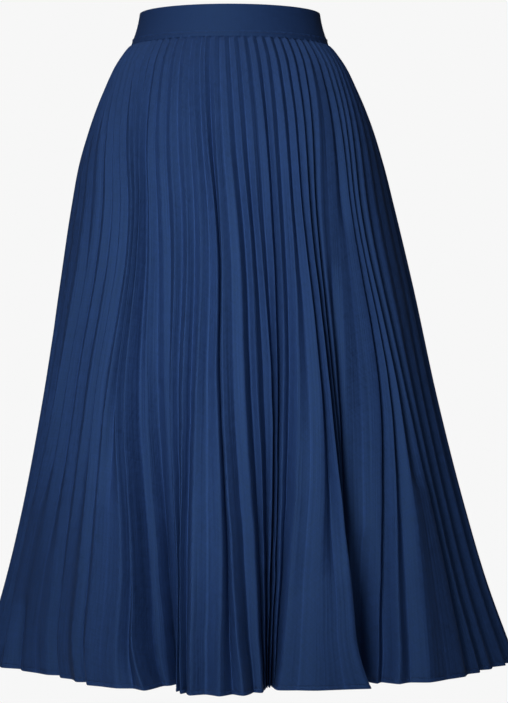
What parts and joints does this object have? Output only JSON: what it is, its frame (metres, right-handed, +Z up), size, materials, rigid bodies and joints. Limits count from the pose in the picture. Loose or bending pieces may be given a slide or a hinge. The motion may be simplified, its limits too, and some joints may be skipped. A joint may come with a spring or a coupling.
{
  "type": "pleated midi skirt",
  "caption": "Hollow A-line midi skirt of sunray-pleated cloth that falls in deep folds from a smooth flat waistband to a wide, narrowly hemmed edge.",
  "frame": {"origin": "middle of the waistband's loop, half way up the band, where the wearer's waist holds the skirt", "axes": "+Z up along the body, front faces -Y, +X is the wearer's left"},
  "size_m": [0.6959, 0.5788, 0.8443],
  "materials": {
    "band_satin": "smooth, softly lustrous dark navy band",
    "pleated_cloth": "fine navy woven cloth with a soft sheen, heat-set in sharp sunray pleats"
  },
  "bodies": {
    "root": {"waistband": "band_satin", "skirt_front": "pleated_cloth", "skirt_back": "pleated_cloth"}
  },
  "joints": []
}
